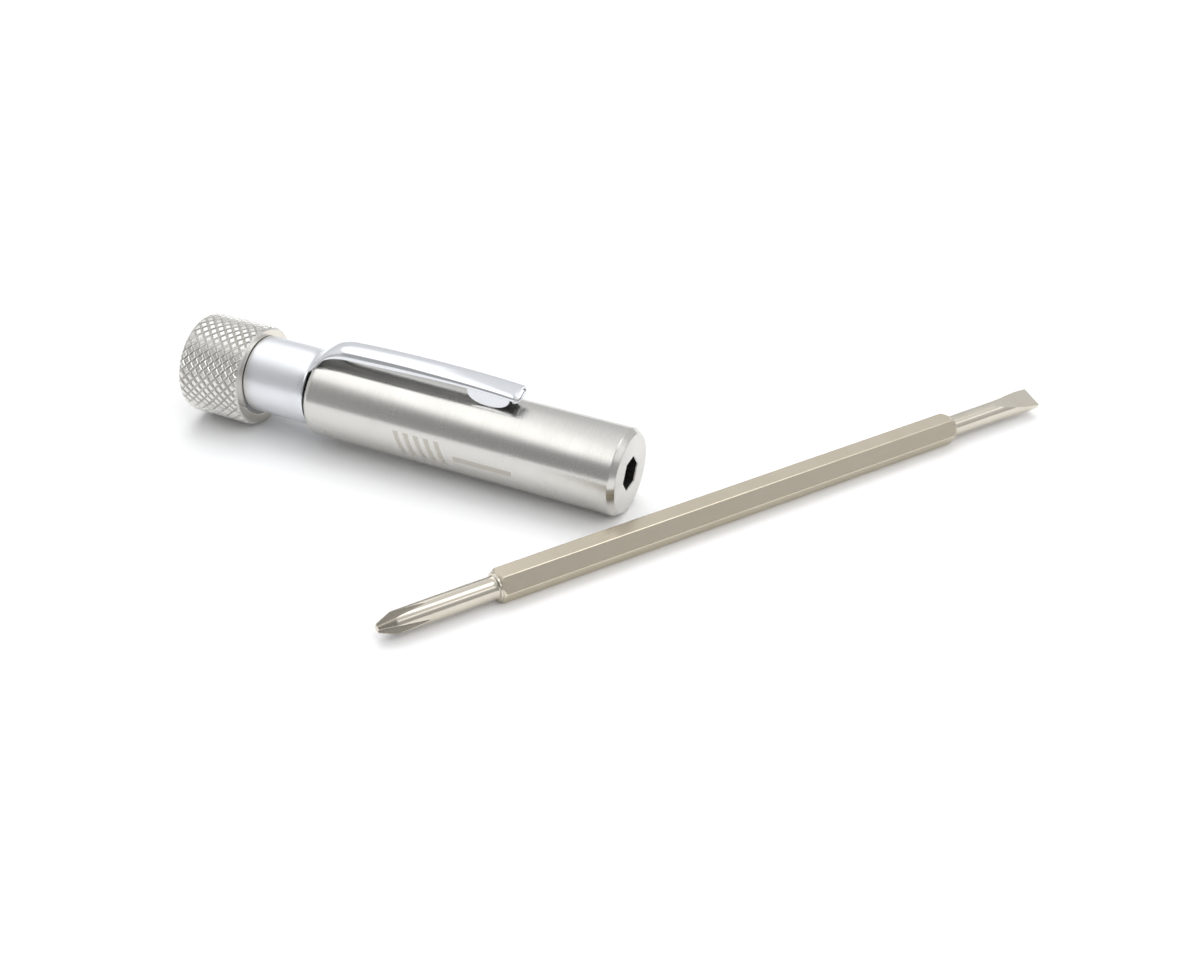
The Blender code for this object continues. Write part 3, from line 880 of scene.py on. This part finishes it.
def lip_mesh():
    """The rolled lip round the open end of the arm, a tube on a closed loop."""
    end = ARM_LINE[-1][0]
    loop = []
    for k in range(LIP_ARCH_STEPS + 1):
        height, across, _ = arm_point(end, 2.0 * k / LIP_ARCH_STEPS - 1.0)
        loop.append(Vector((height - LIP_RADIUS * LIP_SINK, across * LIP_WIDTH_SHARE)))
    far = loop[-1]
    near = loop[0]
    for k in range(1, LIP_SAG_STEPS):
        t = k / LIP_SAG_STEPS
        loop.append(far.lerp(near, t) - Vector((LIP_SAG * math.sin(math.pi * t), 0.0)))
    count = len(loop)
    corners = []
    faces = []
    for k, point in enumerate(loop):
        tangent = (loop[(k + 1) % count] - loop[k - 1]).normalized()
        out = Vector((-tangent.y, tangent.x))
        for i in range(LIP_SIDES):
            angle = 2 * math.pi * i / LIP_SIDES
            spot = point + out * LIP_RADIUS * math.cos(angle)
            corners.append((spot.x, spot.y, end + LIP_RADIUS + LIP_RADIUS * math.sin(angle)))
    for k in range(count):
        here = k * LIP_SIDES
        there = (k + 1) % count * LIP_SIDES
        for i in range(LIP_SIDES):
            nxt = (i + 1) % LIP_SIDES
            faces.append((here + i, here + nxt, there + nxt, there + i))
    return mesh_from("clip_lip", corners, faces)


def make_clip_sheet(matrix, chrome):
    clip = new_object("clip_body", clip_mesh())
    first = clip.data.polygons[0]
    if first.normal.x * first.center.x + first.normal.y * first.center.y < 0:
        clip.data.flip_normals()
    sheet = clip.modifiers.new("sheet", "SOLIDIFY")
    sheet.thickness = SHEET * MM
    sheet.offset = -1.0
    sheet.use_even_offset = True
    # The inner faces get the inside material, which is duller and painted darker as the shade inside the channel.
    sheet.material_offset = 1
    clip.data.materials.append(chrome)
    clip.data.materials.append(dull_inside_painted_shade())
    apply_modifiers(clip)
    bevel(clip, CLIP_EDGE_BEVEL, 2, CLIP_BEVEL_ANGLE, material=0)
    smooth(clip, CLIP_SHARP_ANGLE)
    place(clip, matrix, "clip")
    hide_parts("pocket_clip")


def make_clip(matrix):
    chrome = bright_chrome()
    make_clip_sheet(matrix, chrome)
    for name, side in (("clip_ear_far", 1), ("clip_ear_near", -1)):
        ear = new_object(name, ear_mesh(side))
        bevel(ear, EAR_EDGE_BEVEL, 3, CLIP_SHARP_ANGLE)
        paint(ear, [chrome])
        smooth(ear, CLIP_SHARP_ANGLE)
        place(ear, matrix, "clip")
    lip = new_object("clip_lip", lip_mesh())
    paint(lip, [chrome])
    smooth(lip, LIP_SHARP_ANGLE)
    place(lip, matrix, "clip")


# ---- blade -----------------------------------------------------------------------------------------------

def hexagon_outline():
    """The hexagon of the bar with rounded corners, a corner on +X."""
    inset = HEX_FLATS / math.sqrt(3.0) - HEX_EDGE_ROUND / math.cos(math.pi / 6)
    points = []
    for k in range(6):
        middle = k * math.pi / 3
        for i in range(5):
            angle = middle + math.radians(-30.0 + 15.0 * i)
            x = inset * math.cos(middle) + HEX_EDGE_ROUND * math.cos(angle)
            y = inset * math.sin(middle) + HEX_EDGE_ROUND * math.sin(angle)
            points.append((x, y))
    return points


def blade_profile():
    """The turned shape that the hexagon is cut from, from the slotted tip down to the cross point."""
    half = HEX_LENGTH / 2
    tip = half + SHANK_LENGTH
    corner = HEX_FLATS / math.sqrt(3.0) + 0.05
    flare = SLOT_TIP_WIDTH / 2
    return rounded([
        (0.0, tip),
        (flare, tip, 0.15),
        (flare, tip - SLOT_TIP_LAND, 0.9),
        (SHANK_RADIUS, tip - SLOT_GRIND_LENGTH - 1.0, 2.0),
        (SHANK_RADIUS, half + 0.12, 0.1),
        (COLLAR_RADIUS - 0.2, half - 0.02, 0.08),
        (COLLAR_RADIUS, half - SLOT_COLLAR_LENGTH, 0.12),
        (corner, half - HEX_CHAMFER - SLOT_END_TAPER, 0.2),
        (corner, HEX_CHAMFER - half, 0.1),
        (COLLAR_RADIUS + 0.12, -half, 0.05),
        (COLLAR_RADIUS, -half, 0.03),
        (COLLAR_RADIUS, -half - CROSS_COLLAR_LENGTH, 0.08),
        (SHANK_RADIUS + 0.06, -half - CROSS_COLLAR_LENGTH - 0.08, 0.1),
        (SHANK_RADIUS, -half - CROSS_FILLET_LENGTH, 0.15),
        (SHANK_RADIUS, CROSS_TAPER_LENGTH + CROSS_CONE_LENGTH - tip, 0.8),
        (CROSS_SHOULDER_RADIUS, CROSS_CONE_LENGTH - tip, 0.12),
        (CROSS_POINT_RADIUS, -tip, 0.1),
        (0.0, -tip),
    ], 5)


def flute_mesh(index):
    """A square bar whose edge runs from near the axis at the cross point out to the shank's surface."""
    tip = HEX_LENGTH / 2 + SHANK_LENGTH
    side = FLUTE_SIDE / math.sqrt(2.0)
    nose, flat = FLUTE_NOSE_FLAT
    outline = [(flat, -flat), (side, -side), (2 * side, 0.0), (side, side), (flat, flat), (nose, 0.0)]
    mesh = prism("flute", outline, -1.25 * FLUTE_LENGTH, 1.25 * FLUTE_LENGTH)
    lean = math.atan2(SHANK_RADIUS - FLUTE_WEB, FLUTE_LENGTH)
    mesh.transform(Matrix.Rotation(lean, 4, "Y"))
    mesh.transform(Matrix.Translation(Vector((FLUTE_WEB, 0.0, -tip)) * MM))
    mesh.transform(Matrix.Rotation(FLUTE_TURN + index * math.pi / 2, 4, "Z"))
    return mesh


def grind_mesh(index):
    """A block that grinds one face of the slotted tip to a slope."""
    tip = HEX_LENGTH / 2 + SHANK_LENGTH
    size = 3.0 * SLOT_GRIND_LENGTH
    slope = math.atan2(SLOT_GRIND_DEPTH - SLOT_TIP_THICKNESS / 2, SLOT_GRIND_LENGTH)
    outline = [(-size / 2, 0.0), (size / 2, 0.0), (size / 2, size), (-size / 2, size)]
    mesh = prism("grind", outline, -size / 2, size / 2)
    mesh.transform(Matrix.Rotation(slope, 4, "X"))
    mesh.transform(Matrix.Translation(Vector((0.0, SLOT_TIP_THICKNESS / 2, tip)) * MM))
    mesh.transform(Matrix.Rotation(SLOT_TURN + index * math.pi, 4, "Z"))
    return mesh


def make_blade(matrix):
    half = HEX_LENGTH / 2
    reach = half + SHANK_LENGTH + 2.0
    blade = new_object("blade_body", lathe("blade_body", blade_profile(), SMALL_STEPS))
    cut(blade, prism("bar", hexagon_outline(), -reach, reach), "INTERSECT")
    for index in range(4):
        cut(blade, flute_mesh(index), "DIFFERENCE")
    for index in range(2):
        cut(blade, grind_mesh(index), "DIFFERENCE")

    def pick(centre, normal):
        radius = math.hypot(centre.x, centre.y)
        if abs(centre.z) < half - 0.02 and radius > COLLAR_RADIUS - 0.02:
            return 0
        turned = Vector((centre.x, centre.y, 0.0)).normalized()
        flat = abs(normal.z) < 0.5 and normal.dot(turned) < 0.93
        # Flat faces near the tips, the flutes and the grinds, take the ground colour, darkened with painted shade.
        return 2 if flat and abs(centre.z) > half + SHANK_LENGTH - SLOT_GRIND_LENGTH - 2.0 else 1

    paint(blade, [champagne_steel(), polished_shank(), ground_tip_and_flute_shade()], pick)
    smooth(blade, BLADE_SHARP_ANGLE)
    place(blade, matrix, "blade")
    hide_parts("hex_blade")


# ---- inner pieces, carried over from the CAD with new materials -------------------------------------------

def finish_inner_pieces():
    finishes = {
        "magnet_sleeve": ("bush_brass", turned_brass()),
        "blade_magnet": ("magnet_plating", magnet_plating()),
        "bore_plug": ("black_oxide", black_oxide()),
    }
    for name, (slot, finish) in finishes.items():
        piece = frame["nodes"][name]
        piece.data.materials.clear()
        piece.data.materials.append(finish)


# ---- studio ----------------------------------------------------------------------------------------------

def rectangle(name, half_length, half_width):
    """A flat rectangle in metres, facing up its own Z."""
    mesh = bpy.data.meshes.new(name)
    corners = [(x * half_length, y * half_width, 0.0) for x, y in ((-1, -1), (1, -1), (1, 1), (-1, 1))]
    mesh.from_pydata(corners, [], [(0, 1, 2, 3)])
    return mesh


def white_floor():
    material = bpy.data.materials.new("studio_floor")
    material.use_nodes = True
    shader = material.node_tree.nodes["Principled BSDF"]
    shader.inputs["Base Color"].default_value = rgba((0.93, 0.93, 0.93))
    shader.inputs["Roughness"].default_value = 0.9
    shader.inputs["Specular IOR Level"].default_value = 0.1
    return material


def make_floor():
    mesh = rectangle("studio_floor", FLOOR_HALF_SIZE, FLOOR_HALF_SIZE)
    mesh.materials.append(white_floor())
    new_object("studio_floor", mesh)


def make_sky():
    """A soft white room, darker near the horizon and in front of the object."""
    world = bpy.data.worlds.new("studio")
    bpy.context.scene.world = world
    world.use_nodes = True
    tree = world.node_tree
    background = tree.nodes["Background"]
    direction = node(tree, "ShaderNodeTexCoord").outputs["Generated"]
    split = node(tree, "ShaderNodeSeparateXYZ", {0: direction})
    level = (math.sin(CAMERA_AZIMUTH), -math.cos(CAMERA_AZIMUTH), 0.0)
    facing = node(tree, "ShaderNodeVectorMath", {0: direction, 1: level}, operation="DOT_PRODUCT")
    front = spread(tree, facing.outputs["Value"], 0.0, 1.0, 0.05, 0.85)
    high = spread(tree, split.outputs[2], 0.0, 1.0, -0.05, 0.75)
    sky = mix_colour(tree, high, rgba(SKY_LOW), rgba(SKY_HIGH))
    colour = mix_colour(tree, front, sky, rgba(SKY_FRONT))
    tree.links.new(colour, background.inputs["Color"])
    background.inputs["Strength"].default_value = 1.0


def sun(name, azimuth, elevation, spread_degrees, strength):
    """A round soft source far away, at an azimuth counted as the camera's. Metal doesn't mirror it."""
    light = bpy.data.lights.new(name, "SUN")
    light.energy = strength
    light.angle = math.radians(spread_degrees)
    lamp = new_object(name, light)
    a = math.radians(azimuth)
    e = math.radians(elevation)
    back = Vector((math.sin(a) * math.cos(e), -math.cos(a) * math.cos(e), math.sin(e)))
    lamp.rotation_euler = back.to_track_quat("Z", "Y").to_euler()
    lamp.visible_glossy = False


def card_light(name, half_length, half_width, strength, fade):
    """An even glow that fades out towards the edges of its card."""
    material = bpy.data.materials.new(name)
    material.use_nodes = True
    tree = material.node_tree
    split = node(tree, "ShaderNodeSeparateXYZ", {0: node(tree, "ShaderNodeTexCoord").outputs["Object"]})
    edges = []
    for k, half in enumerate((half_length, half_width)):
        distance = math_node(tree, "ABSOLUTE", split.outputs[k])
        edges.append(spread(tree, distance, 1.0, 0.0, half * (1 - fade), half))
    share = math_node(tree, "SMOOTH_MIN", *edges, 0.1)
    light = node(tree, "ShaderNodeEmission", {"Strength": strength})
    clear = node(tree, "ShaderNodeBsdfTransparent")
    mixed = node(tree, "ShaderNodeMixShader", {0: share, 1: clear.outputs[0], 2: light.outputs[0]})
    tree.links.new(mixed.outputs[0], tree.nodes["Material Output"].inputs["Surface"])
    return material


def card(name, centre, long_way, facing, length, width, strength, fade):
    """A soft-edged card that only the metal's reflections see, light or dark by its strength."""
    mesh = rectangle(name, length / 2, width / 2)
    mesh.materials.append(card_light(name, length / 2, width / 2, strength, fade))
    made = new_object(name, mesh)
    forward = Vector(facing).normalized()
    along = Vector(long_way)
    along = (along - forward * along.dot(forward)).normalized()
    made.matrix_world = frame_of(Vector(centre), along, forward.cross(along), forward)
    made.visible_camera = False
    made.visible_diffuse = False
    made.visible_shadow = False


def make_lights():
    for name, values in SUNS.items():
        sun(name, *values)
    for name, values in CARDS.items():
        card(name, *values)


def make_camera():
    data = bpy.data.cameras.new("camera")
    data.sensor_width = 36.0
    data.sensor_fit = "HORIZONTAL"
    data.lens = CAMERA_LENS
    data.clip_start = 0.005
    data.clip_end = 20.0
    camera = new_object("camera", data)
    level = Vector((math.sin(CAMERA_AZIMUTH), -math.cos(CAMERA_AZIMUTH), 0.0))
    back = level * math.cos(CAMERA_ELEVATION) + Vector((0.0, 0.0, math.sin(CAMERA_ELEVATION)))
    camera.location = CAMERA_AIM + back * CAMERA_DISTANCE
    turn = back.to_track_quat("Z", "Y").to_matrix() @ Matrix.Rotation(CAMERA_ROLL, 3, "Z")
    camera.rotation_euler = turn.to_euler()
    bpy.context.scene.camera = camera


def main():
    bpy.context.scene.view_settings.view_transform = "Standard"
    handle = handle_frame()
    make_camera()
    make_barrel(handle)
    make_cap(handle)
    make_washer(handle)
    make_clip(handle)
    make_blade(blade_frame())
    finish_inner_pieces()
    make_floor()
    make_sky()
    make_lights()


main()
